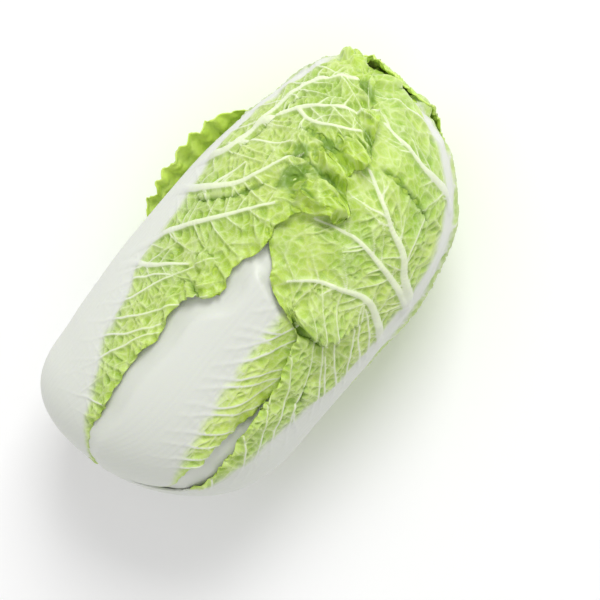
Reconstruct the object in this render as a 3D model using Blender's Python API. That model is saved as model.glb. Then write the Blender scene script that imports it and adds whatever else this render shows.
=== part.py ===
"""A napa cabbage head lying on its side, +X towards the leaf tips, resting on Z = 0.

The head is a stem core with leaves wrapped round it. Every leaf follows one barrel
outline, and lies below the leaves outside it by their thickness.
"""

import math

import bpy
import numpy as np

# Driving dimensions of the head, in metres
HEAD_RADIUS = 0.0800
BASE_REACH = 0.1100
BARREL_LENGTH = 0.0500
TIP_REACH = 0.1410
END_POWER = 2.6
NECK_RADIUS = 0.0280
SPINE_START = 0.0600
SPINE_END = 0.2350

# The side that it lies on is pressed flat, and the rest of the head shifts to the middle
PRESSED_DEPTH = 0.0030
PRESSED_HEIGHT = 0.0120
FLAT_SLICE = 0.0005
HEAD_MIDDLE_X = 0.1515
HEAD_MIDDLE_Y = 0.0065

# The middle line leans to +Y at both ends: metres along the head, and metres to the side
LEAN = [(0, 0.018), (0.014, 0.011), (0.028, 0.005), (0.046, -0.001), (0.070, -0.003), (0.117, 0), (0.180, 0.003),
        (0.230, 0.0045), (0.254, 0.007), (0.267, 0.010), (0.280, 0.014), (0.292, 0.018), (0.301, 0.020)]

# Stem core
CUT_RADIUS = 0.0250
CUT_X = 0.0020
CORE_GAP = 0.0008
CORE_TIP_GAP = 0.0080
CORE_SIDES = 28

# Leaf stacking, as shares of the distance from the outline to the spine
EDGE_SPACING = 0.0421
OUTER_RIB_SPACING = 0.090
INNER_SPACING = 0.096
OUTER_TIP_LOOSENESS = 1.3
INNER_TIP_LOOSENESS = 0.68
OUTER_FADE = 0.0229
INNER_FADE = 0.033
OUTER_CLEARANCE = 0.0063
INNER_CLEARANCE = 0.0047

# Leaf thickness
EDGE_THICKNESS = 0.0011
OUTER_RIB_THICKNESS = 0.0052
INNER_RIB_THICKNESS = 0.0026
RIB_TIP_THICKNESS = 0.0016

BLADE_GREEN = (0.47, 0.66, 0.17, 1.0)
INNER_GREEN = (0.78, 0.80, 0.34, 1.0)
HEART_YELLOW = (0.90, 0.76, 0.22, 1.0)
CORE_CREAM = (0.84, 0.78, 0.62, 1.0)

OUTLINE_SAMPLES = 500


def outline_table():
    """Arc length, x and radius along the barrel: a superellipse base, a straight barrel, a superellipse tip."""
    turn = np.linspace(0.0, math.pi / 2, OUTLINE_SAMPLES)
    share = 2.0 / END_POWER
    base_x = BASE_REACH * (1.0 - np.cos(turn) ** share)
    base_r = HEAD_RADIUS * np.sin(turn) ** share
    tip_x = BASE_REACH + BARREL_LENGTH + TIP_REACH * np.sin(turn) ** share
    tip_r = HEAD_RADIUS * np.cos(turn) ** share
    kept = base_r >= NECK_RADIUS
    x = np.concatenate([base_x[kept], tip_x])
    r = np.concatenate([base_r[kept], tip_r])
    r[-1] = 0.0
    steps = np.hypot(np.diff(x), np.diff(r))
    return np.concatenate([[0.0], np.cumsum(steps)]), x, r


ARC, ARC_X, ARC_R = outline_table()
ARC_LENGTH = ARC[-1]
CAP_ARC = HEAD_RADIUS * math.pi / 2


def smooth_curve(points, at):
    """A curve through a few (place, value) points, easing from each to the next."""
    places, values = np.array(points, float).T
    slopes = np.gradient(values, places)
    at = np.clip(at, places[0], places[-1])
    k = np.clip(np.searchsorted(places, at, side="right") - 1, 0, len(places) - 2)
    span = places[k + 1] - places[k]
    t = (at - places[k]) / span
    return (
        values[k] * (1 + 2 * t) * (1 - t) ** 2
        + slopes[k] * span * t * (1 - t) ** 2
        + values[k + 1] * t * t * (3 - 2 * t)
        + slopes[k + 1] * span * t * t * (t - 1)
    )


def ease(t):
    t = np.clip(t, 0.0, 1.0)
    return t * t * (3 - 2 * t)


def head_place(along, side, middle):
    """Arc length and angle on the head of a leaf's point: `along` its rib, `side` as an angle off the rib.

    On the barrel a leaf wraps straight round; on the tip it crosses the cap as on a ball.
    """
    colatitude = (ARC_LENGTH - along) / HEAD_RADIUS
    toward_pole = np.cos(side) * np.cos(colatitude)
    turned = np.arctan2(np.sin(side), np.cos(side) * np.sin(colatitude))
    on_cap = along > ARC_LENGTH - CAP_ARC
    arc = np.where(on_cap, ARC_LENGTH - HEAD_RADIUS * np.arccos(np.clip(toward_pole, -1, 1)), along)
    return arc, middle + np.where(on_cap, turned, side)


def leaf_place(arc, angle, middle):
    """The inverse of head_place: how far along and to the side of a leaf's rib a point of the head is."""
    turned = (angle - middle + math.pi) % (2 * math.pi) - math.pi
    colatitude = (ARC_LENGTH - arc) / HEAD_RADIUS
    side = np.arcsin(np.clip(np.sin(colatitude) * np.sin(turned), -1, 1))
    beyond = np.arctan2(np.sin(colatitude) * np.cos(turned), np.cos(colatitude))
    on_cap = arc > ARC_LENGTH - CAP_ARC
    return np.where(on_cap, ARC_LENGTH - HEAD_RADIUS * beyond, arc), np.where(on_cap, side, turned)


def head_point(arc, angle, level):
    """A point of the head: level 0 is the outline, and level 1 the spine. `level` below 0 stands proud."""
    x = np.interp(arc, ARC, ARC_X)
    r = np.interp(arc, ARC, ARC_R)
    spine = SPINE_START + (SPINE_END - SPINE_START) * (x - ARC_X[0]) / (ARC_X[-1] - ARC_X[0])
    x = spine + (1 - level) * (x - spine)
    r = (1 - level) * r
    return in_place(x, -r * np.sin(angle), r * np.cos(angle))


def in_place(x, y, z):
    """Points along the head's straight axis, moved to the leaning one and to the middle of the box."""
    return np.stack([x - HEAD_MIDDLE_X, y + smooth_curve(LEAN, x) - HEAD_MIDDLE_Y, z], axis=-1)


def press_on_floor(points):
    """Lifts the lowest part a little towards a flat face, as the head's weight does."""
    z = points[..., 2] + HEAD_RADIUS - PRESSED_DEPTH
    low = np.clip((PRESSED_HEIGHT - z) / (PRESSED_HEIGHT + PRESSED_DEPTH), 0, None)
    z = z + PRESSED_DEPTH * low**2
    points[..., 2] = np.maximum(z, FLAT_SLICE) - FLAT_SLICE
    return points


# Margins are angles from a leaf's rib in degrees, at shares of its length from base to tip
PLAIN_MARGIN = [(0, 40), (0.12, 36), (0.3, 48), (0.55, 68), (0.75, 70), (0.9, 48), (1, 16)]
BACK_MARGIN = [(0, 44), (0.12, 42), (0.3, 56), (0.55, 74), (0.75, 72), (0.9, 48), (1, 16)]
LEFT_OVER_FRONT = [(0, 66), (0.12, 58), (0.3, 60), (0.5, 65), (0.65, 74), (0.8, 70), (0.92, 48), (1, 18)]
LEFT_BEHIND = [(0, 40), (0.12, 36), (0.3, 46), (0.55, 58), (0.75, 62), (0.9, 44), (1, 16)]
RIGHT_OVER_FRONT = [(0, 62), (0.15, 46), (0.36, 43), (0.5, 78), (0.58, 84), (0.7, 76), (0.82, 66), (0.92, 44), (1, 16)]
RIGHT_BEHIND = [(0, 40), (0.12, 36), (0.3, 46), (0.55, 58), (0.75, 62), (0.9, 44), (1, 16)]
FRONT_MARGIN = [(0, 44), (0.12, 36), (0.3, 36), (0.5, 44), (0.7, 60), (0.88, 46), (1, 16)]
HEART_MARGIN = [(0, 50), (0.2, 56), (0.5, 72), (0.75, 70), (0.9, 50), (1, 20)]

# The back leaf's margin stands off the head on the +Y side
FLARE_START = 0.62
BACK_FLARE = 0.0150
BACK_FLARE_MIDDLE = 0.50
BACK_FLARE_SPAN = 0.17

OUTER_LEAVES = [
    # name, rib angle in degrees, length share, left margin, right margin
    ("back_wrapper_leaf", 182, 1.03, PLAIN_MARGIN, BACK_MARGIN),
    ("left_wrapper_leaf", -80, 1.06, LEFT_BEHIND, LEFT_OVER_FRONT),
    ("right_wrapper_leaf", 81, 1.02, RIGHT_OVER_FRONT, RIGHT_BEHIND),
    ("front_wrapper_leaf", -1, 0.99, FRONT_MARGIN, FRONT_MARGIN),
    ("right_under_leaf", 52, 0.98, PLAIN_MARGIN, PLAIN_MARGIN),
    ("left_under_leaf", -128, 0.97, PLAIN_MARGIN, PLAIN_MARGIN),
]
INNER_LEAVES = 10
HEART_LEAVES = 4
GOLDEN_TURN = 137.5
FIRST_INNER_ANGLE = 289
INNER_LENGTHS = (0.93, 0.88)
HEART_LENGTHS = (0.86, 0.70)

# Cells across and along a leaf, with the rows closer together towards the tip
OUTER_CELLS = (13, 17)
INNER_CELLS = (8, 11)
ROW_CROWDING = 0.59


def leaf_list():
    """Every leaf from the outside in, with its place, its outline and its share of the stack."""
    leaves = []
    for name, angle, length, left, right in OUTER_LEAVES:
        leaves.append(
            {
                "name": name,
                "middle": math.radians(angle),
                "length": length * ARC_LENGTH,
                "left": left,
                "right": right,
                "rib_spacing": OUTER_RIB_SPACING,
                "edge_spacing": EDGE_SPACING,
                "fade": OUTER_FADE,
                "clearance": OUTER_CLEARANCE,
                "tip_looseness": OUTER_TIP_LOOSENESS,
                "rib_thickness": OUTER_RIB_THICKNESS,
                "cells": OUTER_CELLS,
                "colour": BLADE_GREEN,
            }
        )
    for k in range(INNER_LEAVES + HEART_LEAVES):
        heart = k >= INNER_LEAVES
        lengths, count = (HEART_LENGTHS, HEART_LEAVES) if heart else (INNER_LENGTHS, INNER_LEAVES)
        share = (k - INNER_LEAVES if heart else k) / (count - 1)
        margin = HEART_MARGIN if heart else PLAIN_MARGIN
        number = len(leaves) + 1
        leaves.append(
            {
                "name": f"{'heart' if heart else 'inner'}_leaf_{number:02d}",
                "middle": math.radians(FIRST_INNER_ANGLE + GOLDEN_TURN * k),
                "length": (lengths[0] + (lengths[1] - lengths[0]) * share) * ARC_LENGTH,
                "left": margin,
                "right": margin,
                "rib_spacing": INNER_SPACING,
                "edge_spacing": INNER_SPACING,
                "fade": INNER_FADE,
                "clearance": INNER_CLEARANCE,
                "tip_looseness": INNER_TIP_LOOSENESS,
                "rib_thickness": INNER_RIB_THICKNESS,
                "cells": INNER_CELLS,
                "colour": HEART_YELLOW if heart else INNER_GREEN,
            }
        )
    return leaves


def margin_angle(leaf, along, side):
    """Angle from the rib to the margin on the side that `side` is on."""
    v = np.clip(along / leaf["length"], 0, 1)
    left = smooth_curve(leaf["left"], v)
    right = smooth_curve(leaf["right"], v)
    return np.radians(np.where(side < 0, left, right))


def rib_share(v, off_rib):
    """1 on the thick white rib and 0 on the blade: the rib narrows from base to tip."""
    half_width = np.radians(smooth_curve([(0, 40), (0.35, 30), (0.6, 16), (0.85, 6), (1, 4)], v))
    return ease(1.35 - np.abs(off_rib) / half_width)


def spacing_below(leaf, arc, angle):
    """How much a leaf pushes down the leaves under it at a place of the head, in levels."""
    along, side = leaf_place(arc, angle, leaf["middle"])
    past_margin = (np.abs(side) - margin_angle(leaf, along, side)) * HEAD_RADIUS
    past_margin = np.maximum(past_margin - leaf["clearance"], 0)
    past_tip = np.maximum(along - leaf["length"] - leaf["clearance"], 0)
    cover = ease(1 - np.hypot(past_margin, past_tip) / leaf["fade"])
    rib = rib_share(np.clip(along / leaf["length"], 0, 1), side)
    spacing = leaf["edge_spacing"] + (leaf["rib_spacing"] - leaf["edge_spacing"]) * rib
    on_cap = ease((arc - ARC_LENGTH + CAP_ARC) / CAP_ARC * 2)
    return cover * spacing * (1 + leaf["tip_looseness"] * on_cap)


def leaf_shell(leaf, outside):
    """Grids of points for a leaf's outer and inner faces, below all the leaves in `outside`."""
    across, lengthwise = leaf["cells"]
    u, v = np.meshgrid(np.linspace(-1, 1, across + 1), np.linspace(0, 1, lengthwise + 1))
    v = v * (1 + ROW_CROWDING * (1 - v))
    along = v * leaf["length"]
    side = u * margin_angle(leaf, along, u)
    arc, angle = head_place(along, side, leaf["middle"])
    level = np.zeros_like(arc)
    for other in outside:
        level += spacing_below(other, arc, angle)
    rib = rib_share(v, side)
    rib_thickness = leaf["rib_thickness"] + (RIB_TIP_THICKNESS - leaf["rib_thickness"]) * ease(v)
    thickness = EDGE_THICKNESS + (rib_thickness - EDGE_THICKNESS) * rib
    if leaf["name"] == "back_wrapper_leaf":
        stands_off = BACK_FLARE * ease((u - FLARE_START) / (1 - FLARE_START))
        along_flare = np.exp(-(((v - BACK_FLARE_MIDDLE) / BACK_FLARE_SPAN) ** 4))
        level = level - stands_off * along_flare / HEAD_RADIUS
    outer = head_point(arc, angle, level)
    inner = head_point(arc, angle, level + thickness / HEAD_RADIUS)
    return press_on_floor(outer), press_on_floor(inner)


def closed_shell(name, outer, inner):
    """A mesh from two matching grids, joined round their rims."""
    rows, columns = outer.shape[:2]
    index = np.arange(rows * columns).reshape(rows, columns)
    below = index + rows * columns
    quads = [
        np.stack([index[:-1, :-1], index[:-1, 1:], index[1:, 1:], index[1:, :-1]], -1).reshape(-1, 4),
        np.stack([below[:-1, :-1], below[1:, :-1], below[1:, 1:], below[:-1, 1:]], -1).reshape(-1, 4),
    ]
    rim = np.concatenate([index[0], index[1:, -1], index[-1, -2::-1], index[-2:0:-1, 0]])
    following = np.roll(rim, -1)
    under = rim + rows * columns
    quads.append(np.stack([rim, under, np.roll(under, -1), following], -1))
    mesh = bpy.data.meshes.new(name)
    points = np.concatenate([outer.reshape(-1, 3), inner.reshape(-1, 3)])
    mesh.from_pydata(points.tolist(), [], np.concatenate(quads).tolist())
    mesh.validate()
    mesh.update()
    return mesh


def finish_of(name, colour, roughness):
    material = bpy.data.materials.get(name) or bpy.data.materials.new(name)
    material.use_nodes = True
    shader = material.node_tree.nodes["Principled BSDF"]
    shader.inputs["Base Color"].default_value = colour
    shader.inputs["Roughness"].default_value = roughness
    return material


def add_object(name, mesh, material):
    piece = bpy.data.objects.new(name, mesh)
    piece.data.materials.append(material)
    piece.data.shade_smooth()
    bpy.context.scene.collection.objects.link(piece)
    return piece


def stem_core():
    """The cut stem at the butt end and the cone inside that carries the leaves, as one turned solid."""
    neck_x = ARC_X[0]
    profile = [
        (CUT_X, 0.0),
        (CUT_X, CUT_RADIUS * 0.92),
        (CUT_X + CORE_GAP, CUT_RADIUS),
        (neck_x + CORE_GAP, CUT_RADIUS),
        (SPINE_START * 0.5, CUT_RADIUS * 0.5),
        (SPINE_START - CORE_TIP_GAP, 0.0),
    ]
    angles = np.arange(CORE_SIDES) * 2 * math.pi / CORE_SIDES
    points = [(profile[0][0], 0.0, 0.0)]
    for x, r in profile[1:-1]:
        points += [(x, -r * math.sin(a), r * math.cos(a)) for a in angles]
    points.append((profile[-1][0], 0.0, 0.0))
    points = in_place(*np.array(points).T)
    faces = []
    rings = len(profile) - 2
    for k in range(CORE_SIDES):
        n = (k + 1) % CORE_SIDES
        faces.append((0, 1 + n, 1 + k))
        for ring in range(rings - 1):
            low, high = 1 + ring * CORE_SIDES, 1 + (ring + 1) * CORE_SIDES
            faces.append((low + k, low + n, high + n, high + k))
        last = 1 + (rings - 1) * CORE_SIDES
        faces.append((last + k, last + n, len(points) - 1))
    mesh = bpy.data.meshes.new("stem_core")
    mesh.from_pydata(press_on_floor(points).tolist(), [], faces)
    mesh.update()
    return add_object("stem_core", mesh, finish_of("cut_stem", CORE_CREAM, 0.7))


def main():
    for old in list(bpy.data.objects):
        bpy.data.objects.remove(old)
    stem_core()
    leaves = leaf_list()
    for k, leaf in enumerate(leaves):
        outer, inner = leaf_shell(leaf, leaves[:k])
        kind = leaf["name"].split("_")[0] if k >= len(OUTER_LEAVES) else "outer"
        material = finish_of(f"{kind}_leaf", leaf["colour"], 0.45)
        add_object(leaf["name"], closed_shell(leaf["name"], outer, inner), material)


main()
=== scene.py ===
"""A napa cabbage head lying on its side: a cut stem with veined leaves wrapped round it."""

import math

import bpy
import mathutils
import numpy as np
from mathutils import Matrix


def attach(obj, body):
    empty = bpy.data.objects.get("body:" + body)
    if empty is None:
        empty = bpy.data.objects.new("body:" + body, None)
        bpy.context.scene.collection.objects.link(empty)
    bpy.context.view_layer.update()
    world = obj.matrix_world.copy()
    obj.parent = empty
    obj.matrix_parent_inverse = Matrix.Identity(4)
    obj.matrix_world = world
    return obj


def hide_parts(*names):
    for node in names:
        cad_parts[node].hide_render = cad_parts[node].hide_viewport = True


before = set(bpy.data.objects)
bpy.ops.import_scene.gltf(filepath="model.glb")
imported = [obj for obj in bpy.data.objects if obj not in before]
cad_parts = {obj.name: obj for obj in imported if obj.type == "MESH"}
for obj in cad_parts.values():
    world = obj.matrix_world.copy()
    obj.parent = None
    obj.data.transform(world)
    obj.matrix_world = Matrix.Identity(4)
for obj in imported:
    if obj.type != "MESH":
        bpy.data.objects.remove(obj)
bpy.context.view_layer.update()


# Cut stem. The short hard core that every leaf grows from, cut through level with the leaf
# bases. It is pale, fibrous flesh that browns where the knife left it open to the air.
HEAD_RADIUS = 0.0800
HEAD_MIDDLE = (0.1515, 0.0065)
STEM_RADIUS = 0.0250
STEM_CUT = 0.0020
STEM_POINT = 0.0520
STEM_RINGS = 96
STEM_SIDES = 192
STEM_DROP = 0.0035
SAW_DEPTH = 0.00045
DISH_DEPTH = 0.0012

# The core's width and depth as shares, at shares of the way from the middle of its cut face, round
# its rim, to its point
STEM_RIM = 0.56
STEM_WIDTHS = [(0, 0), (0.3, 0.6), (0.5, 0.97), (STEM_RIM, 1.0), (0.66, 0.93), (0.8, 0.55), (1, 0.0)]
STEM_DEPTHS = [(0, 0), (0.3, 0.01), (0.5, 0.02), (STEM_RIM, 0.05), (0.66, 0.16), (0.8, 0.45), (1, 1)]

# Millimetres that the head's middle line leans to the side, at millimetres along it
LEAN = [(0, 18), (14, 11), (28, 5), (46, -1), (70, -3), (117, 0), (180, 3), (230, 4.5), (254, 7), (267, 10),
        (280, 14), (292, 18), (301, 20)]


def smooth_curve(points, at):
    """A cubic through a few (place, value) points, with the slope at each from its neighbours."""
    places, values = np.array(points, float).T
    slopes = np.gradient(values, places)
    at = np.clip(at, places[0], places[-1])
    k = np.clip(np.searchsorted(places, at, side="right") - 1, 0, len(places) - 2)
    span = places[k + 1] - places[k]
    t = (at - places[k]) / span
    rise = values[k] * (1 + 2 * t) * (1 - t) ** 2 + values[k + 1] * t * t * (3 - 2 * t)
    return rise + slopes[k] * span * t * (1 - t) ** 2 + slopes[k + 1] * span * t * t * (t - 1)


def ease(t):
    """0 to 1 with a flat start and end: 3t squared less 2t cubed."""
    t = np.clip(t, 0.0, 1.0)
    return t * t * (3 - 2 * t)


def in_place(x, y, z):
    """Points in the head's own lengths moved to where the head lies, leaning with its middle line."""
    lean = smooth_curve(LEAN, np.asarray(x) * 1000) / 1000
    return np.stack([x - HEAD_MIDDLE[0], y + lean - HEAD_MIDDLE[1], z], axis=-1)


def noise(x, y, seed):
    """Values from -1 to 1 at whole numbers, eased between: a seeded table read at x and y."""
    table = np.random.default_rng(seed).uniform(-1, 1, (256, 256))
    cell_x, cell_y = np.floor(x).astype(int), np.floor(y).astype(int)
    part_x, part_y = ease(x - cell_x), ease(y - cell_y)
    low = table[cell_x % 256, cell_y % 256] * (1 - part_x) + table[(cell_x + 1) % 256, cell_y % 256] * part_x
    high = table[cell_x % 256, (cell_y + 1) % 256] * (1 - part_x)
    high = high + table[(cell_x + 1) % 256, (cell_y + 1) % 256] * part_x
    return low * (1 - part_y) + high * part_y


def linear(red, green, blue):
    """A colour from 0 to 255 as the linear values that a shader takes."""
    shares = np.array([red, green, blue]) / 255
    return tuple(np.where(shares <= 0.04045, shares / 12.92, ((shares + 0.055) / 1.055) ** 2.4)) + (1.0,)


def add_piece(name, points, faces, masks, finish, node):
    """A mesh from points and a list of face arrays, with a named value at every point for each mask."""
    mesh = bpy.data.meshes.new(name)
    mesh.vertices.add(len(points))
    mesh.vertices.foreach_set("co", np.asarray(points, np.float32).ravel())
    corners = np.concatenate([f.ravel() for f in faces]).astype(np.int32)
    sizes = np.concatenate([np.full(len(f), f.shape[1]) for f in faces])
    mesh.loops.add(len(corners))
    mesh.loops.foreach_set("vertex_index", corners)
    mesh.polygons.add(len(sizes))
    mesh.polygons.foreach_set("loop_start", np.concatenate([[0], np.cumsum(sizes)[:-1]]).astype(np.int32))
    mesh.update(calc_edges=True)
    for mask, values in masks.items():
        attribute = mesh.attributes.new(mask, "FLOAT", "POINT")
        attribute.data.foreach_set("value", np.asarray(values, np.float32).ravel())
    mesh.validate()
    mesh.shade_smooth()
    mesh.materials.append(finish)
    piece = bpy.data.objects.new(name, mesh)
    bpy.context.scene.collection.objects.link(piece)
    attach(piece, "root")
    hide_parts(node)
    return piece


def new_finish(name):
    """An empty node material with its shader: returns the material, its nodes, its links and the shader."""
    finish = bpy.data.materials.new(name)
    finish.use_nodes = True
    return finish, finish.node_tree.nodes, finish.node_tree.links, finish.node_tree.nodes["Principled BSDF"]


def stem_shape():
    """The core as a turned surface: a rough cut face, a rounded rim and a long cone up into the head.

    Its radius and depth are cubics through the shares above. Five and eight waves go round it, and the
    cut face is sawn rough by noise and a little dished."""
    t = np.linspace(0, 1, STEM_RINGS)[:, None]
    turn = np.linspace(0, 2 * math.pi, STEM_SIDES, endpoint=False)[None, :]
    lobes = 1 + 0.035 * np.sin(5 * turn + 0.6) + 0.02 * np.sin(8 * turn + 2.1)
    r = STEM_RADIUS * smooth_curve(STEM_WIDTHS, t) * (1 + (lobes - 1) * ease(t / 0.3))
    saw = SAW_DEPTH * noise(r * np.cos(turn) * 900 + 90, r * np.sin(turn) * 160 + 90, 71)
    dished = DISH_DEPTH * ease(1 - r / STEM_RADIUS)
    depth = smooth_curve(STEM_DEPTHS, t)
    x = STEM_CUT + (STEM_POINT - STEM_CUT) * depth + (saw + dished) * ease((STEM_RIM - t) / 0.1)
    points = in_place(x + 0 * turn, -r * np.sin(turn), HEAD_RADIUS - STEM_DROP + r * np.cos(turn))
    cut = ease((0.62 - t) / 0.06) + 0 * turn
    return points, cut


points, cut = stem_shape()
index = np.arange(STEM_RINGS * STEM_SIDES).reshape(STEM_RINGS, STEM_SIDES)
across = np.roll(index, -1, axis=1)
sides = np.stack([index[1:-2], index[2:-1], across[2:-1], across[1:-2]], -1).reshape(-1, 4)
ends = [np.stack([index[0, :1].repeat(STEM_SIDES), index[1], across[1]], -1),
        np.stack([index[-2], index[-1, :1].repeat(STEM_SIDES), across[-2]], -1)]

stem_finish, nodes, links, shader = new_finish("cut_stem")
cut_mask = nodes.new("ShaderNodeAttribute")
cut_mask.attribute_name = "cut"
fibres = nodes.new("ShaderNodeTexNoise")
fibres.inputs["Scale"].default_value = 260.0
fibres.inputs["Detail"].default_value = 6.0
place = nodes.new("ShaderNodeTexCoord")
links.new(place.outputs["Object"], fibres.inputs["Vector"])
browned = nodes.new("ShaderNodeValToRGB")
browned.color_ramp.elements[0].position = 0.36
browned.color_ramp.elements[0].color = linear(214, 198, 162)
browned.color_ramp.elements[1].position = 0.62
browned.color_ramp.elements[1].color = linear(236, 228, 204)
links.new(fibres.outputs["Fac"], browned.inputs["Fac"])
side_or_cut = nodes.new("ShaderNodeMix")
side_or_cut.data_type = "RGBA"
side_or_cut.inputs["A"].default_value = linear(232, 236, 218)
links.new(cut_mask.outputs["Fac"], side_or_cut.inputs["Factor"])
links.new(browned.outputs["Color"], side_or_cut.inputs["B"])
links.new(side_or_cut.outputs["Result"], shader.inputs["Base Color"])
shader.inputs["Roughness"].default_value = 0.72
shader.inputs["Subsurface Weight"].default_value = 0.1
rough_cut = nodes.new("ShaderNodeBump")
rough_cut.inputs["Strength"].default_value = 0.5
rough_cut.inputs["Distance"].default_value = 0.0006
links.new(fibres.outputs["Fac"], rough_cut.inputs["Height"])
links.new(rough_cut.outputs["Normal"], shader.inputs["Normal"])
stem_points = points.reshape(-1, 3)
add_piece("cut_stem", stem_points, [sides] + ends, {"cut": cut}, stem_finish, "stem_core")


# Back wrapper leaf. The outermost leaf, under the head: a thick white rib that flattens where it
# bears the weight, and a crumpled green blade whose loose margin stands off along the far side.

# Metres: the reach of the head's two blunt ends and its straight middle, the radius of its neck, and
# the two ends of its spine, the line that its leaves are squeezed towards. END_POWER is how blunt.
BASE_REACH = 0.1100
BARREL_LENGTH = 0.0500
TIP_REACH = 0.1410
NECK_RADIUS = 0.0280
SPINE = (0.0600, 0.2350)
END_POWER = 2.6

# Metres: the lowest part of the head, which the floor presses flat, how far past its margin a leaf
# still pushes in the next ones, and how thick a leaf is at its margin, at its base and on its rib
PRESSED_DEPTH = 0.0030
PRESSED_HEIGHT = 0.0120
PRESSED_FLAT = 0.0005
CLEARANCE = 0.002
FADE = 0.014
LEAF_EDGE = 0.0007
BASE_EDGE = 0.0022
RIB_THICKNESS = 0.0045

# Levels, as shares of the way to the spine, that a leaf's edge and its rib push the next leaves in by
EDGE_SPACING = 0.038
RIB_SPACING = 0.080

# Millimetres: the step of a growing vein, how near it comes to another before it joins it, and how
# far from a vein its cord is worked out
VEIN_STEP = 2.5
VEIN_JOIN = 1.9
VEIN_REACH = 7

# Degrees: how thin veins leave the rib, how branches leave a vein, how much both then bend towards the
# tip, and how much they wander. A vein loses this share of its width by its end.
THIN_HEADINGS = (44, 60)
BRANCH_TURNS = (45, 70)
VEIN_BEND = 20
VEIN_WANDER = 4
VEIN_TAPER = 0.6

# Millimetres: the lengths and heights of the margin's ruffles and its frill, the size of the net's
# cells, the depth of their pockets, and how round the rib is
RUFFLE_LENGTH = 27
RUFFLE_LIFT = 3.0
FRILL_LENGTH = 8.5
FRILL_LIFT = 2.2
CELL_LONG = 5.2
CELL_WIDE = 7.6
CELL_SCALE = 6.0
POCKET_DEPTH = 1.45
RIB_ROUND = 1.3


def outline():
    """Length along the leaf, x and radius of the barrel: a straight middle between two blunt ends, each a
    quarter of a superellipse, where x and radius are cosines and sines to a power."""
    turn = np.linspace(0.0, math.pi / 2, 1500)
    share = 2.0 / END_POWER
    base_x = BASE_REACH * (1.0 - np.cos(turn) ** share)
    base_r = HEAD_RADIUS * np.sin(turn) ** share
    kept = base_r >= NECK_RADIUS
    x = np.concatenate([base_x[kept], BASE_REACH + BARREL_LENGTH + TIP_REACH * np.sin(turn) ** share])
    r = np.concatenate([base_r[kept], HEAD_RADIUS * np.cos(turn) ** share])
    r[-1] = 0.0
    return np.concatenate([[0.0], np.cumsum(np.hypot(np.diff(x), np.diff(r)))]), x, r


ARC, ARC_X, ARC_R = outline()
ARC_LENGTH = ARC[-1]
CAP_START = ARC_LENGTH - HEAD_RADIUS * math.pi / 2
MM = HEAD_RADIUS * 1000 * math.pi / 180


def head_place(along, side, middle):
    """Length along the head and angle round it of a leaf's point. On the barrel a leaf wraps straight
    round. On the tip it crosses the cap as a strip crosses a ball, along circles side by side."""
    circle = HEAD_RADIUS * np.cos(np.minimum(np.abs(side), math.radians(80)))
    left = math.pi / 2 - np.maximum(along - CAP_START, 0) / circle
    turned = np.arctan2(np.sin(side), np.cos(side) * np.sin(left))
    arc = ARC_LENGTH - HEAD_RADIUS * np.arccos(np.clip(np.cos(side) * np.cos(left), -1, 1))
    on_cap = along > CAP_START
    return np.where(on_cap, arc, along), middle + np.where(on_cap, turned, side)


def leaf_place(arc, angle, middle):
    """The inverse of head_place."""
    turned = (angle - middle + math.pi) % (2 * math.pi) - math.pi
    colatitude = (ARC_LENGTH - arc) / HEAD_RADIUS
    side = np.arcsin(np.clip(np.sin(colatitude) * np.sin(turned), -1, 1))
    left = np.arctan2(np.sin(colatitude) * np.cos(turned), np.cos(colatitude))
    along = CAP_START + HEAD_RADIUS * np.cos(side) * (math.pi / 2 - left)
    on_cap = arc > CAP_START
    return np.where(on_cap, along, arc), np.where(on_cap, side, turned)


def head_point(arc, angle, level, lift):
    """A point of the head before it is moved into place: level 0 is the outline and level 1 the spine,
    and lift is metres off that along the ray from the spine."""
    x = np.interp(arc, ARC, ARC_X)
    r = np.interp(arc, ARC, ARC_R)
    spine = SPINE[0] + (SPINE[1] - SPINE[0]) * (x - ARC_X[0]) / (ARC_X[-1] - ARC_X[0])
    ray = np.hypot(x - spine, r)
    reach = (1 - level) + lift / ray
    return spine + reach * (x - spine), -reach * r * np.sin(angle), reach * r * np.cos(angle)


def press_on_floor(points):
    """Eases the lowest part up to the floor, and keeps everything above it."""
    z = points[..., 2]
    low = np.clip((PRESSED_HEIGHT - z) / (PRESSED_HEIGHT + PRESSED_DEPTH), 0, None)
    points[..., 2] = np.maximum(z + PRESSED_DEPTH * low**2 - PRESSED_FLAT, 0.0)
    return points


def margin_at(leaf, along, side):
    """Millimetres from the rib to the margin at millimetres along, on the side that `side` is on."""
    return MM * np.where(side < 0, smooth_curve(leaf["left"], along), smooth_curve(leaf["right"], along))


def white_at(leaf, along):
    """Half the width of the white rib in millimetres, from its broad base to its tip."""
    return MM * smooth_curve(leaf["white"], along)


def pushed_in(leaf, arc, angle):
    """The levels that a leaf pushes the leaves under it in by, at a place of the head: most under its rib,
    less near its edge and its base, and none a little way past its margin."""
    along, side = leaf_place(arc, angle, leaf["middle"])
    along = 1000 * along
    reached = np.clip(along, 0, leaf["length"])
    off_rib = (np.degrees(side) - smooth_curve(leaf["bend"], reached)) * MM
    past_margin = np.maximum(np.abs(off_rib) - margin_at(leaf, reached, off_rib), 0) / 1000
    past_tip = np.maximum(along - leaf["length"], 0) / 1000
    cover = ease(1 - np.maximum(np.hypot(past_margin, past_tip) - CLEARANCE, 0) / FADE)
    rib = ease(1.3 - np.abs(off_rib) / white_at(leaf, reached))
    rib = rib * ease((margin_at(leaf, reached, off_rib) - np.abs(off_rib)) / 8)
    edge = EDGE_SPACING * (0.35 + 0.65 * ease(reached / 120))
    return cover * (edge + (RIB_SPACING - EDGE_SPACING) * rib * (1 - 0.6 * reached / leaf["length"]))


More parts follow.
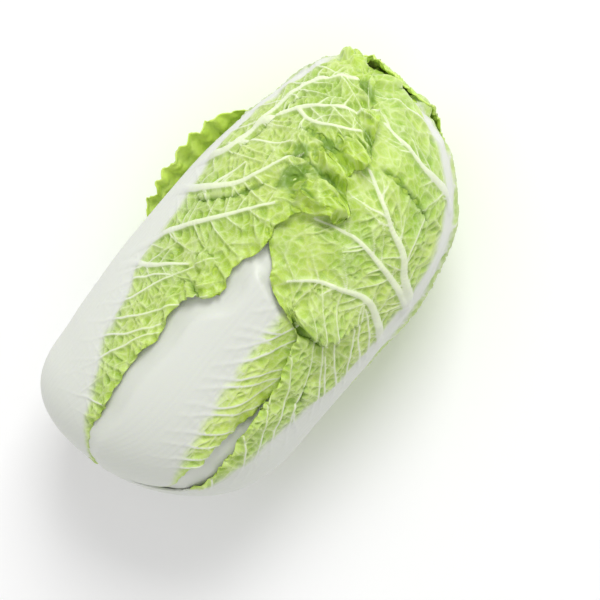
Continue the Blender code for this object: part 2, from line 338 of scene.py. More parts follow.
def cell_edges(x, y, seed):
    """Distance to the nearest border between jittered cells one unit across, and each cell's own number.
    The distance is half of how much farther the second nearest cell's point is than the nearest."""
    jitter = np.random.default_rng(seed).random((256, 256, 3))
    cell_x, cell_y = np.floor(x).astype(int), np.floor(y).astype(int)
    nearest = np.full(x.shape, 9.0)
    second = np.full(x.shape, 9.0)
    number = np.zeros(x.shape)
    for step_x in (-1, 0, 1):
        for step_y in (-1, 0, 1):
            drawn = jitter[(cell_x + step_x) % 256, (cell_y + step_y) % 256]
            far = np.hypot(cell_x + step_x + drawn[..., 0] - x, cell_y + step_y + drawn[..., 1] - y)
            number = np.where(far < nearest, drawn[..., 2], number)
            second = np.minimum(second, np.maximum(far, nearest))
            nearest = np.minimum(nearest, far)
    return (second - nearest) / 2, number


def grow_vein(leaf, rng, taken, start, sign, heading, last_heading, turning, width, most):
    """One vein as rows of x, y, width and heading a step apart, in millimetres off and along the rib.

    Its heading is degrees from the leaf's length, and moves towards the last heading over the turning
    length. It stops at the margin, the tip, the rib, another vein, or after `most` steps."""
    x, y = start
    line = []
    for step in range(most):
        line.append((x, y, width * (1 - VEIN_TAPER * step / most), heading))
        heading += (last_heading - heading) * VEIN_STEP / turning + rng.normal(0, VEIN_WANDER)
        x += sign * VEIN_STEP * math.sin(math.radians(heading))
        y += VEIN_STEP * math.cos(math.radians(heading))
        place = int(np.clip(y, 0, leaf["length"]))
        past_margin = y > leaf["length"] or abs(x) > taken["reach"][sign][place]
        if past_margin or x * sign < 0.5 * taken["white"][place]:
            break
        if step > 2 and np.min(np.hypot(taken["x"] - x, taken["y"] - y)) < VEIN_JOIN:
            line.append((x, y, width * (1 - VEIN_TAPER * step / most), heading))
            break
    return np.array(line)


def grow_veins(leaf):
    """All the veins of a leaf: its drawn side veins, its thin veins, and the branches of both.

    A branch leaves its parent on alternate sides every centimetre or so. Where it meets another vein
    it stops, so the branches close into a net."""
    rng = np.random.default_rng(leaf["seed"])
    whole = np.arange(0, leaf["length"] + 2)
    taken = {"reach": {-1: margin_at(leaf, whole, -1.0), 1: margin_at(leaf, whole, 1.0)},
             "white": white_at(leaf, whole), "x": np.array([1e3]), "y": np.array([1e3])}
    grown = []

    def keep(line, sign, order):
        if len(line) > 2:
            grown.append((line, sign, order))
            taken["x"] = np.append(taken["x"], line[:, 0])
            taken["y"] = np.append(taken["y"], line[:, 1])

    for sign, points, first_width, last_width in leaf["veins"]:
        off, along = np.array(points, float).T
        run = np.concatenate([[0], np.cumsum(np.hypot(np.diff(off), np.diff(along)))])
        steps = np.arange(0, run[-1], VEIN_STEP)
        off = smooth_curve(np.stack([run, off], -1), steps)
        along = smooth_curve(np.stack([run, along], -1), steps)
        heading = np.degrees(np.arctan2(np.gradient(off), np.gradient(along)))
        width = last_width + (first_width - last_width) * (1 - steps / run[-1]) ** 1.4
        keep(np.stack([sign * off, along, width, heading], -1), sign, 0)
    for sign, first, last, spacing, width in leaf["thin_veins"]:
        for y in np.arange(first, last, spacing):
            heading = rng.uniform(*THIN_HEADINGS)
            start = (0.6 * sign * float(white_at(leaf, y)), y + rng.uniform(-0.25, 0.25) * spacing)
            last_heading = heading - VEIN_BEND
            keep(grow_vein(leaf, rng, taken, start, sign, heading, last_heading, 50, width, 40), sign, 0)
    for order, gap, most in ((1, 15.0, 14), (2, 10.5, 7)):
        for line, sign, _ in [vein for vein in grown if vein[2] < order]:
            side = 1
            place = rng.uniform(0.5, 1.0) * gap / VEIN_STEP
            while place < len(line) - 1:
                x, y, width, heading = line[int(place)]
                turned = heading + side * rng.uniform(*BRANCH_TURNS)
                thinner = (0.45, 0.5)[order - 1] * np.clip(width, 0.9, 2.2)
                bent = turned - side * VEIN_BEND
                branch = grow_vein(leaf, rng, taken, (x, y), sign, turned, bent, 25, thinner, most)
                keep(branch, sign, order)
                side = -side
                place += rng.uniform(0.7, 1.2) * gap / VEIN_STEP
    return [line for line, _, _ in grown]


def vein_fields(veins, a, x):
    """How far every point is inside the nearest vein (below zero outside it), the height of the round cord
    that each vein makes, and the groove along both its sides. A cord is mostly half an ellipse across."""
    inside, ridge, groove = np.full(a.shape, -9.0), np.zeros(a.shape), np.zeros(a.shape)
    low, high = a.min(axis=1), a.max(axis=1)
    for line in veins:
        for (x0, y0, w0, _), (x1, y1, w1, _) in zip(line[:-1], line[1:]):
            first = np.searchsorted(high, min(y0, y1) - VEIN_REACH)
            last = np.searchsorted(low, max(y0, y1) + VEIN_REACH)
            if last <= first:
                continue
            rows = slice(first, last)
            from_x, from_y = x[rows] - x0, a[rows] - y0
            long_x, long_y = x1 - x0, y1 - y0
            t = np.clip((from_x * long_x + from_y * long_y) / (long_x**2 + long_y**2), 0, 1)
            away = np.hypot(from_x - t * long_x, from_y - t * long_y)
            width = w0 + (w1 - w0) * t
            cord = 0.6 * np.sqrt(np.clip(1 - (away / (width / 2 + 0.6)) ** 2, 0, 1))
            cord += 0.4 * np.exp(-((away / (0.6 * width + 0.8)) ** 2))
            beside = np.exp(-(((away - width / 2 - 1.2) / 0.9) ** 2))
            thinness = 0.45 * np.clip(1 - width / 2.2, 0, 1)
            inside[rows] = np.maximum(inside[rows], width / 2 - away - thinness)
            ridge[rows] = np.maximum(ridge[rows], 0.7 * width**0.65 * cord)
            groove[rows] = np.maximum(groove[rows], np.clip(width / 3, 0, 1) * beside)
    return inside, ridge, groove


def crease_fields(leaf, a, x):
    """The step and the valley that a leaf's creases give every point: along each line of points the
    blade on its left is raised, and the raised part sinks back over a few centimetres. The valley is
    also painted dark, as shade."""
    raised, valley = np.zeros(a.shape), np.zeros(a.shape)
    for points, step, depth in leaf["creases"]:
        nearest = np.full(a.shape, 1e3)
        signed = np.zeros(a.shape)
        ends = np.zeros(a.shape)
        total = len(points) - 1
        for k, ((x0, y0), (x1, y1)) in enumerate(zip(points[:-1], points[1:])):
            long = math.hypot(x1 - x0, y1 - y0)
            from_x, from_y = x - x0, a - y0
            t = (from_x * (x1 - x0) + from_y * (y1 - y0)) / long**2
            away = np.hypot(from_x - np.clip(t, 0, 1) * (x1 - x0), from_y - np.clip(t, 0, 1) * (y1 - y0))
            closer = away < nearest
            side = np.sign((x1 - x0) * from_y - (y1 - y0) * from_x)
            nearest = np.where(closer, away, nearest)
            signed = np.where(closer, away * side, signed)
            run = (np.clip(t, 0, 1) + k) / total
            ends = np.where(closer, ease(8 * run) * ease(2.5 * (1 - run)), ends)
        raised += step * ends * ease((signed + 0.8) / 1.8) * np.exp(-np.clip(signed, 0, None) / 16)
        valley += depth * ends * np.exp(-((signed + 0.9) / 1.3) ** 2)
    return raised, valley


def leaf_form(leaf, outside):
    """The outer face and inner face of a leaf as grids of points, and its masks.

    Across goes from margin to margin and up goes from the stem to the tip, and x and a are those in
    millimetres. The blade lies on the head's outline under the leaves outside it, is lifted by its
    ruffles, lobes and creases, and is then moved along its own normals by its rib, veins and pockets."""
    seed = leaf["seed"]
    rows, left, right = leaf["cells"]
    half = np.concatenate([np.linspace(-1, 0, left + 1)[:-1], np.linspace(0, 1, right + 1)])
    v, u = np.meshgrid(np.linspace(0, 1, rows + 1), half, indexing="ij")
    sign = np.where(u < 0, -1.0, 1.0)
    straight = leaf["length"] * v
    a = straight - leaf["rounding"] * u**2 * ease((v - 0.8) / 0.2)
    lobed = 1.7 * noise(a / 12, sign + 0.5, seed + 3) + 1.2 * noise(a / 4.2, sign + 8.5, seed + 4)
    margin = margin_at(leaf, straight, u) + leaf["scallop"] * lobed * ease(v / 0.1)
    off_rib = np.abs(u) * margin
    x = u * margin
    to_edge = np.minimum(margin - off_rib, leaf["length"] * (1 - v))
    round_edge = a + 0.8 * off_rib
    white = white_at(leaf, straight)

    # Loose margins: slow ruffles and a short frill at the very edge, lobes that puff out, and creases
    loose = np.clip(1 - to_edge / 18, 0, 1) ** 1.6 * ease((v - 0.08) / 0.2) * leaf["ruffle"]
    wander = 4.0 * noise(round_edge / 31, sign + 0.5, seed + 5)
    swell = 0.5 + 0.5 * np.sin(2 * math.pi * round_edge / RUFFLE_LENGTH + wander)
    frill = np.clip(1 - to_edge / 6, 0, 1) ** 1.3 * ease((v - 0.05) / 0.15) * leaf["ruffle"]
    wander = 4.5 * noise(round_edge / 11, sign + 9.5, seed + 6)
    fine = 0.5 + 0.5 * np.sin(2 * math.pi * round_edge / FRILL_LENGTH + wander)
    tucked = (0.7 + 0.8 * ease(a / 120)) * np.exp(-to_edge / 3.5) * ease((0.6 - v) / 0.1)
    lift = RUFFLE_LIFT * loose * swell + FRILL_LIFT * frill * fine - tucked
    # Painted shade: this mask colours the dents, the grooves round the lobes and the crease valleys darker
    # for the shade that falls in them
    hollow_shade = np.zeros(a.shape)
    # Painted light: this mask colours the raised lobes and the flare lighter, as if lit; it also crumples
    # the lobes
    raised_and_lit = np.zeros(a.shape)
    for side_at, centre, across, length, height in leaf["lobes"]:
        away = np.hypot((x - side_at) / across, (a - centre) / length)
        away += 0.2 * noise(a / 5, x / 5, seed + 9)
        puff = ease(2.2 * (1 - away))
        lift += height * puff
        if height < 0:
            hollow_shade += 0.9 * puff
        else:
            strength = ease(height / 6)
            raised_and_lit += strength * puff
            groove = strength * np.exp(-(((away - 1.15) / 0.14) ** 2))
            groove *= ease(0.5 + noise(a / 9, x / 9, seed + 19))
            lift -= 1.4 * groove
            hollow_shade += 0.7 * groove
    raised, valley = crease_fields(leaf, a, x)
    lift += raised - valley
    hollow_shade += 0.7 * valley
    crumple = np.maximum(ease((v - 0.72) / 0.25), 0.8 * np.clip(raised_and_lit, 0, 1)) * leaf["crumple"]
    folds = 1.7 * noise(a / 13, x / 13, seed + 10) + 1.3 * noise(a / 5.5, x / 5.5, seed + 11) + 0.8
    lift += crumple * folds
    if "flare" in leaf:
        middle, span, height = leaf["flare"]
        stand = height * np.clip((u - 0.6) / 0.4, 0, 1) ** 1.6 * np.exp(-(((a - middle) / span) ** 4))
        waves = 0.78 + 0.22 * np.abs(np.sin(math.pi * a / 12 + 1.6 * noise(a / 19, 0 * a + 3.5, seed + 2)))
        lift += stand * waves
        raised_and_lit += stand / height

    side = np.radians(x / MM + smooth_curve(leaf["bend"], straight))
    arc, angle = head_place(a / 1000, side, leaf["middle"])
    level = np.zeros(a.shape)
    for other in outside:
        level += pushed_in(other, arc, angle)
    smooth = np.stack(head_point(arc, angle, level, lift / 1000), axis=-1)
    normal = np.cross(np.gradient(smooth, axis=1), np.gradient(smooth, axis=0))
    normal /= np.linalg.norm(normal, axis=-1, keepdims=True) + 1e-12

    # Blade: green outside the white rib, and pressed into pockets between its veins and their net.
    # The pockets are also coloured darker, as painted shade.
    inside, ridge, groove = vein_fields(grow_veins(leaf) if leaf["fine"] else [], a, x)
    border = off_rib - white + 2.0 * noise(a / 8, off_rib / 8, seed + 12)
    blade = np.maximum(ease((border + 1.0) / leaf["green_edge"]), ease((v - 0.9) / 0.07))
    slant, back = (a + off_rib) / 1.414, (a - off_rib) / 1.414
    warped = 0.45 * noise(a / 9, off_rib / 9, seed + 13)
    net, number = cell_edges(slant / CELL_LONG + warped, back / CELL_WIDE + 2 * sign - warped, seed + 14)
    net *= CELL_SCALE
    off_vein = np.clip(-inside, 0, 9)
    sunk = ease(off_vein / 1.4) * (0.2 + 0.8 * ease(net / 2.0)) * (0.4 + 1.0 * number) * leaf["pucker"]
    between = ease(off_vein / 5)
    height = blade * (1.2 + ridge - POCKET_DEPTH * sunk - 1.0 * between - 0.4 * groove)
    dimples = 1.0 * noise(a / 11, x / 11, seed + 16) + 0.4 * noise(a / 5, x / 5, seed + 18)
    height += blade * leaf["pucker"] * dimples

    # Rib: rounded across, with faint lengthwise cords, and the roots of the veins that run into it
    rib_form = np.clip(1 - (off_rib / np.maximum(white, 1)) ** 2, 0, 1)
    cords = np.sin(2 * math.pi * x / 4.4 + 2.2 * noise(a / 90, x / 6, seed + 17))
    rounded = RIB_ROUND * rib_form * (1 - 0.5 * v) + 0.04 * cords * leaf["fine"]
    rooted = (0.08 + 0.6 * np.exp(np.clip(border, -99, 0) / 8)) * ridge
    height += (1 - blade) * (rounded + rooted)
    height *= 1 - 0.7 * np.clip(level / 0.02, 0, 1)
    outer = smooth + height[..., None] / 1000 * normal
    rib = ease(1.2 - off_rib / np.maximum(white, 1)) * ease(to_edge / 8)
    base_extra = BASE_EDGE * ease(1.2 - a / 60)
    rib_extra = (RIB_THICKNESS * (1 - 0.75 * v) - LEAF_EDGE) * rib
    thickness = LEAF_EDGE + base_extra + rib_extra
    inner = smooth + (0.75 * height[..., None] / 1000 - thickness[..., None]) * normal

    # The masks are shares, but vein and net are millimetres, and across and along are centimetres
    masks = {
        "blade": blade,
        "vein": inside,
        "net": net,
        "pale": np.exp(-np.clip(border, 0, 99) / 13) * (1 - ease((v - 0.85) / 0.1)),
        # Painted shade: the pockets and the grooves beside the veins are coloured darker for the shade in
        # them
        "sunk": np.clip(0.75 * sunk + 0.5 * groove * blade, 0, 1),
        "shade": np.clip(hollow_shade, 0, 1),
        # The edge mask is the margin's own paler tone plus the painted light on the lobes and the flare
        "edge": np.clip(np.exp(-to_edge / 10) + 0.8 * raised_and_lit, 0, 1),
        "across": x / 10,
        "along": a / 10,
    }
    return outer, inner, masks


def add_leaf(leaf, outside, finish):
    """Joins a leaf's two faces round its rim. The inner face keeps one in so many rows and columns, and
    each of its rim points meets as many points of the outer rim."""
    outer, inner, masks = leaf_form(leaf, outside)
    skip = leaf["lining"]
    inner = inner[::skip, ::skip]
    rows, columns = outer.shape[:2]
    index = np.arange(rows * columns).reshape(rows, columns)
    below = np.arange(inner.shape[0] * inner.shape[1]).reshape(inner.shape[:2]) + rows * columns
    top = np.stack([index[:-1, :-1], index[:-1, 1:], index[1:, 1:], index[1:, :-1]], -1).reshape(-1, 4)
    under = np.stack([below[:-1, :-1], below[1:, :-1], below[1:, 1:], below[:-1, 1:]], -1).reshape(-1, 4)
    rim = np.concatenate([index[0], index[1:, -1], index[-1, -2::-1], index[-2:0:-1, 0]])
    inner_rim = np.concatenate([below[0], below[1:, -1], below[-1, -2::-1], below[-2:0:-1, 0]])
    k = np.arange(len(inner_rim))
    strip = [rim[(skip * k + step) % len(rim)] for step in range(skip + 1)]
    edge = np.stack([inner_rim, np.roll(inner_rim, -1)] + strip[::-1], -1)
    points = np.concatenate([outer.reshape(-1, 3), inner.reshape(-1, 3)])
    points = in_place(points[:, 0], points[:, 1], points[:, 2] + HEAD_RADIUS - PRESSED_DEPTH)
    lining = np.concatenate([np.zeros(rows * columns), np.ones(inner.shape[0] * inner.shape[1])])
    values = {name: np.concatenate([mask.ravel(), mask[::skip, ::skip].ravel()])
              for name, mask in masks.items()}
    values["lining"] = lining
    faces = [top, under, edge]
    return add_piece(leaf["name"], press_on_floor(points), faces, values, finish, leaf["name"])


def leaf_tone_group():
    """Colour of a leaf from its masks: rib, then blade, with painted shade in the pockets, the grooves
    beside the veins, the creases and the hollows, paler towards the rib and on the veins and their net, its
    own colour at the edge, and painted light on the raised lobes, the flare and the inner face."""
    group = bpy.data.node_groups.new("leaf_tone", "ShaderNodeTree")
    for name in ("Rib", "Blade", "Pocket", "Vein", "Edge", "Deep"):
        group.interface.new_socket(name, in_out="INPUT", socket_type="NodeSocketColor")
    group.interface.new_socket("Colour", in_out="OUTPUT", socket_type="NodeSocketColor")
    tones = group.nodes.new("NodeGroupInput").outputs
    outlet = group.nodes.new("NodeGroupOutput")

    def value_of(name):
        reader = group.nodes.new("ShaderNodeAttribute")
        reader.attribute_name = name
        return reader.outputs["Fac"]

    def mixed(factor, first, second):
        mix = group.nodes.new("ShaderNodeMix")
        mix.data_type = "RGBA"
        group.links.new(factor, mix.inputs["Factor"])
        group.links.new(first, mix.inputs["A"])
        group.links.new(second, mix.inputs["B"])
        return mix.outputs["Result"]

    def scaled(value, factor, add=0.0):
        times = group.nodes.new("ShaderNodeMath")
        times.operation = "MULTIPLY_ADD"
        times.inputs[1].default_value = factor
        times.inputs[2].default_value = add
        times.use_clamp = True
        group.links.new(value, times.inputs[0])
        return times.outputs["Value"]

    place = group.nodes.new("ShaderNodeTexCoord")
    patches = group.nodes.new("ShaderNodeTexNoise")
    patches.inputs["Scale"].default_value = 30.0
    patches.inputs["Detail"].default_value = 4.0
    group.links.new(place.outputs["Object"], patches.inputs["Vector"])
    surface = group.nodes.new("ShaderNodeCombineXYZ")
    group.links.new(value_of("across"), surface.inputs["X"])
    group.links.new(value_of("along"), surface.inputs["Y"])
    net = group.nodes.new("ShaderNodeTexVoronoi")
    net.feature = "DISTANCE_TO_EDGE"
    net.inputs["Scale"].default_value = 3.6
    group.links.new(surface.outputs["Vector"], net.inputs["Vector"])
    # The darker green is the leaf's own random mottling here, and the painted pocket shade further down
    blade = mixed(scaled(patches.outputs["Fac"], 2.2, -0.8), tones["Blade"], tones["Pocket"])
    # The margin's own tone, and painted light on the raised lobes and the flare
    blade = mixed(scaled(value_of("edge"), 0.8), blade, tones["Edge"])
    blade = mixed(scaled(value_of("pale"), 0.28), blade, tones["Vein"])
    # Painted shade in the pockets and the grooves beside the veins
    blade = mixed(scaled(value_of("sunk"), 0.8), blade, tones["Pocket"])
    blade = mixed(scaled(net.outputs["Distance"], -1.6, 0.17), blade, tones["Vein"])
    blade = mixed(scaled(value_of("net"), -0.5, 0.3), blade, tones["Vein"])
    # Painted light: the inner face is lightened towards the edge colour, for light showing through the leaf
    blade = mixed(scaled(value_of("lining"), 0.6), blade, tones["Edge"])
    blade = mixed(scaled(value_of("vein"), 0.07, 0.19), blade, tones["Vein"])
    blade = mixed(scaled(value_of("shade"), 0.85), blade, tones["Deep"])
    vein = mixed(scaled(value_of("pale"), 1.2), tones["Vein"], tones["Rib"])
    blade = mixed(scaled(value_of("vein"), 2.0, 0.8), blade, vein)
    whole = mixed(value_of("blade"), tones["Rib"], blade)
    group.links.new(whole, outlet.inputs["Colour"])
    return group


def leaf_grain_group():
    """Height of a leaf's skin: fine puckers on the blade, and long cords on the rib."""
    group = bpy.data.node_groups.new("leaf_grain", "ShaderNodeTree")
    group.interface.new_socket("Height", in_out="OUTPUT", socket_type="NodeSocketFloat")
    outlet = group.nodes.new("NodeGroupOutput")
    place = group.nodes.new("ShaderNodeTexCoord")
    puckers = group.nodes.new("ShaderNodeTexVoronoi")
    puckers.feature = "SMOOTH_F1"
    puckers.inputs["Scale"].default_value = 560.0
    group.links.new(place.outputs["Object"], puckers.inputs["Vector"])
    readers = []
    for name in ("across", "along", "blade"):
        reader = group.nodes.new("ShaderNodeAttribute")
        reader.attribute_name = name
        readers.append(reader.outputs["Fac"])
    surface = group.nodes.new("ShaderNodeCombineXYZ")
    group.links.new(readers[0], surface.inputs["X"])
    stretched = group.nodes.new("ShaderNodeMath")
    stretched.operation = "MULTIPLY"
    stretched.inputs[1].default_value = 0.06
    group.links.new(readers[1], stretched.inputs[0])
    group.links.new(stretched.outputs["Value"], surface.inputs["Y"])
    cords = group.nodes.new("ShaderNodeTexNoise")
    cords.inputs["Scale"].default_value = 7.0
    cords.inputs["Detail"].default_value = 4.0
    group.links.new(surface.outputs["Vector"], cords.inputs["Vector"])
    either = group.nodes.new("ShaderNodeMix")
    group.links.new(readers[2], either.inputs["Factor"])
    group.links.new(cords.outputs["Fac"], either.inputs["A"])
    group.links.new(puckers.outputs["Distance"], either.inputs["B"])
    group.links.new(either.outputs["Result"], outlet.inputs["Height"])
    return group


tone_group = leaf_tone_group()
grain_group = leaf_grain_group()


def leaf_finish(name, rib, blade, mottle_and_shade, vein, edge):
    """Waxy leaf skin: the tone and grain groups with this leaf's own colours, and the one dark green that is
    painted into every leaf's hollows and creases as shade.
    """
    finish, nodes, links, shader = new_finish(name)
    tone = nodes.new("ShaderNodeGroup")
    tone.node_tree = tone_group
    tones = {"Rib": rib, "Blade": blade, "Pocket": mottle_and_shade, "Vein": vein, "Edge": edge, "Deep": SHADE_GREEN}
    for socket, colour in tones.items():
        tone.inputs[socket].default_value = linear(*colour)
    links.new(tone.outputs["Colour"], shader.inputs["Base Color"])
    grain = nodes.new("ShaderNodeGroup")
    grain.node_tree = grain_group
    bump = nodes.new("ShaderNodeBump")
    bump.inputs["Strength"].default_value = 0.35
    bump.inputs["Distance"].default_value = 0.0004
    links.new(grain.outputs["Height"], bump.inputs["Height"])
    links.new(bump.outputs["Normal"], shader.inputs["Normal"])
    shader.inputs["Roughness"].default_value = 0.42
    shader.inputs["Specular IOR Level"].default_value = 0.4
    shader.inputs["Subsurface Weight"].default_value = 0.08
    shader.inputs["Subsurface Radius"].default_value = (0.8, 1.0, 0.35)
    shader.inputs["Subsurface Scale"].default_value = 0.002
    return finish


# What each leaf starts from. Margins left and right of the rib, the half width of its white and its
# bend are (millimetres along, degrees round the head). A vein is its side, its points off and along
# the rib, and its first and last width. Thin veins are side, first, last, spacing and width. A lobe is
# its middle, its two half sizes and its height. A crease is its points, its step and its valley. Cells
# are the rows, and the columns left and right of the rib.
PLAIN_WHITE = [(0, 62), (18, 56), (44, 48), (80, 40), (110, 34), (145, 24), (180, 18), (220, 13), (270, 7),
               (330, 4), (375, 3)]
PLAIN_MARGIN = [(0, 64), (30, 58), (44, 50), (110, 50), (200, 68), (270, 66), (320, 48), (375, 24)]
STRAIGHT = [(0, 0), (400, 0)]
WRAPPER = {
    "length": 372.0, "rounding": 16.0, "left": PLAIN_MARGIN, "right": PLAIN_MARGIN, "white": PLAIN_WHITE,
    "bend": STRAIGHT, "veins": [], "lobes": [], "creases": [], "ruffle": 1.0, "scallop": 1.0, "crumple": 0.8,
    "pucker": 1.0, "green_edge": 9.0, "fine": True, "lining": 3,
    "thin_veins": [(-1, 40, 330, 15, 1.3), (1, 40, 330, 15, 1.3)],
}
RIB_WHITE = (216, 219, 210)
# The dark green painted into the hollows and creases as shade
SHADE_GREEN = (98, 138, 28)
VEIN_WHITE = (222, 231, 193)
# The back wrapper's blade and edge colours are lighter than the other wrappers', painted light on its flare
back_finish = leaf_finish("back_wrapper", RIB_WHITE, (198, 227, 112), (168, 210, 74), (224, 236, 180),
                          (216, 243, 108))
back_leaf = dict(
    WRAPPER, name="back_wrapper_leaf", middle=math.radians(182), flare=(183.0, 54.0, 17.0), seed=100,
    left=[(0, 64), (30, 58), (44, 50), (110, 50), (200, 62), (250, 56), (290, 40), (330, 26), (375, 12)],
    right=[(0, 64), (30, 58), (44, 48), (110, 58), (165, 74), (200, 79), (245, 72), (280, 50), (320, 34),
           (375, 14)],
    cells=(240, 60, 120), scallop=0.8, ruffle=0.6, crumple=0.2, lining=1,
)
add_leaf(back_leaf, [], back_finish)


# Left wrapper leaf. Its rib is the white edge along the head's far side, and its blade comes over
# the front with four strong side veins and a margin that puffs up in crumpled lobes with painted light on
# them.
left_finish = leaf_finish("left_wrapper", RIB_WHITE, (190, 211, 98), (136, 174, 44), VEIN_WHITE,
                          (184, 214, 70))
left_leaf = dict(
    WRAPPER, name="left_wrapper_leaf", middle=math.radians(-80), length=332.0, rounding=7.0, seed=200,
    left=[(0, 64), (40, 50), (110, 48), (200, 62), (270, 60), (332, 34)],
    right=[(0, 118), (10, 106), (17, 98), (22, 90), (29, 81), (41, 72), (56, 67), (71, 64), (98, 60),
           (124, 62), (150, 62), (163, 69), (176, 70), (189, 68), (208, 72), (222, 70), (235, 73), (240, 79),
           (246, 83), (253, 84), (259, 82), (264, 76), (270, 69), (279, 64), (295, 60), (312, 51), (324, 43),
           (332, 38)],
    white=[(0, 100), (15, 90), (29, 77), (43, 66), (63, 53), (82, 45), (97, 38), (120, 35), (138, 28),
           (160, 25), (181, 22), (205, 15), (220, 9), (240, 6), (263, 4.5), (291, 3.5), (332, 2)],
    veins=[(1, [(3, 196), (16, 208), (31, 225), (32, 248), (27, 280), (27, 295), (31, 308), (35, 320)],
            6.5, 2.4),
           (1, [(8, 178), (26, 190), (42, 201), (57, 216), (66, 235), (70, 251), (73, 261)], 7.5, 0.9),
           (1, [(22, 134), (33, 150), (46, 171), (57, 185), (68, 200), (78, 216), (88, 230)], 5.0, 1.4),
           (1, [(24, 126), (36, 137), (49, 145), (63, 158), (73, 167)], 5.0, 1.2),
           (1, [(32, 246), (42, 274), (52, 294), (55, 314), (54, 328)], 3.4, 1.5),
           (1, [(42, 274), (56, 277), (64, 290), (66, 304)], 2.6, 1.3),
           (1, [(46, 204), (50, 219), (53, 232)], 2.0, 0.9),
           (1, [(28, 228), (42, 242), (57, 252), (63, 260)], 1.8, 1.0)],
    thin_veins=[(-1, 40, 300, 16, 1.3), (1, 44, 122, 11, 1.5), (1, 226, 300, 22, 1.2)],
    lobes=[(103, 248, 17, 13, 10.0), (88, 269, 14, 5, 7.0), (80, 289, 9, 11, 8.0), (60, 319, 8, 13, 6.0),
           (93, 166, 12, 7, 3.0), (82, 173, 9, 6, 2.2), (16, 325, 8, 6, 3.0), (3, 320, 7, 7, 3.5),
           (-8, 325, 7, 6, 4.0), (73, 277, 6, 4, -0.6), (80, 246, 7, 13, -0.4), (70, 260, 7, 7, -0.4),
           (72, 306, 10, 4, -0.8), (40, 322, 9, 5, -1.0)],
    creases=[([(102, 156), (88, 157), (76, 160)], 3.0, 1.5), ([(104, 243), (94, 243), (84, 252)], 3.0, 1.5),
             ([(64, 248), (74, 260), (88, 262), (106, 260)], 1.0, 1.4),
             ([(54, 268), (66, 276), (78, 279), (94, 277)], 1.0, 1.4),
             ([(41, 192), (50, 199), (62, 212), (71, 230), (75, 246)], 0.8, 1.5),
             ([(37, 222), (38, 246), (33, 276), (33, 292)], 0.6, 1.2)],
    cells=(420, 30, 162),
)
add_leaf(left_leaf, [back_leaf], left_finish)


# Right wrapper leaf. Its rib runs up the near side and over the tip, and above the middle its blade
# sweeps right across the front leaf, pleated where it turns back to its narrow lower strip.
right_finish = leaf_finish("right_wrapper", RIB_WHITE, (198, 219, 106), (138, 180, 50), VEIN_WHITE,
                           (188, 216, 80))
right_leaf = dict(
    WRAPPER, name="right_wrapper_leaf", middle=math.radians(74), length=398.0, seed=300,
    left=[(0, 56), (20, 38), (30, 33), (42, 28), (58, 31), (80, 36), (94, 40), (110, 42), (139, 44),
          (154, 46), (170, 50), (183, 53), (187, 60), (191, 68), (196, 73), (202, 75), (210, 82), (217, 85),
          (226, 86), (234, 82), (246, 74), (262, 66), (290, 60), (320, 54), (352, 47), (398, 34)],
    right=[(0, 40), (44, 38), (110, 48), (200, 62), (275, 66), (320, 52), (398, 26)],
    white=[(0, 45), (30, 36), (59, 28), (95, 27), (117, 24), (150, 18), (172, 11), (200, 6.5), (240, 4.5),
           (300, 3.5), (372, 2)],
    bend=[(0, 7), (120, 7), (160, 6), (190, 2), (210, 0), (300, -1), (330, -4), (372, -8)],
    veins=[(-1, [(8, 203), (21, 211), (47, 222), (67, 217), (77, 214), (94, 201)], 6.5, 1.3),
           (-1, [(3, 226), (11, 230), (30, 237), (49, 242), (78, 246), (105, 239)], 5.5, 1.2),
           (-1, [(3, 226), (12, 234), (31, 245), (43, 256), (56, 263), (66, 272), (73, 288)], 7.5, 2.2),
           (-1, [(3, 291), (7, 295), (20, 301), (34, 305), (41, 314), (46, 326)], 6.5, 2.0),
           (-1, [(50, 259), (63, 267), (78, 265), (90, 266)], 1.8, 0.9),
           (-1, [(33, 247), (37, 257), (37, 269), (34, 280)], 1.6, 0.9),
           (-1, [(3, 322), (12, 332), (26, 342), (38, 352)], 1.8, 1.0)],
    thin_veins=[(-1, 26, 200, 11, 1.5), (1, 40, 330, 16, 1.3)],
    lobes=[(14, 352, 9, 8, 5.0), (-14, 362, 12, 7, 3.0)],
    creases=[([(-34, 216), (-44, 196), (-54, 185), (-68, 185), (-80, 188)][::-1], 8.0, 4.0),
             ([(-66, 294), (-49, 289), (-34, 283), (-26, 276)], 1.5, 1.6),
             ([(-46, 158), (-38, 148), (-45, 140)], 1.5, 1.2)],
    pucker=0.9, cells=(450, 150, 30),
)
add_leaf(right_leaf, [back_leaf, left_leaf], right_finish)


# Front wrapper leaf. A broad flat white rib up the middle of the front, with a green strip down its
# near side. Its upper blade is under the two wrappers.
front_finish = leaf_finish("front_wrapper", RIB_WHITE, (200, 221, 88), (148, 192, 44), VEIN_WHITE,
                           (190, 220, 70))
front_leaf = dict(
    WRAPPER, name="front_wrapper_leaf", middle=math.radians(-5), length=360.0, seed=400,
    left=[(0, 60), (40, 56), (100, 46), (180, 52), (250, 60), (320, 40), (360, 20)],
    right=[(0, 66), (30, 60), (45, 53), (56, 46), (68, 41), (82, 40), (100, 39), (115, 41), (140, 44),
           (180, 52), (250, 60), (320, 40), (360, 20)],
    white=[(0, 62), (30, 58), (45, 51), (63, 37), (91, 26), (117, 23), (160, 19.5), (185, 18), (220, 13),
           (290, 7), (360, 4)],
    thin_veins=[(1, 56, 200, 10, 1.5), (-1, 80, 300, 16, 1.3), (1, 205, 320, 16, 1.3)],
    ruffle=0.5, pucker=0.6, crumple=0.4, green_edge=8.0, cells=(270, 60, 120),
)
add_leaf(front_leaf, [back_leaf, left_leaf, right_leaf], front_finish)


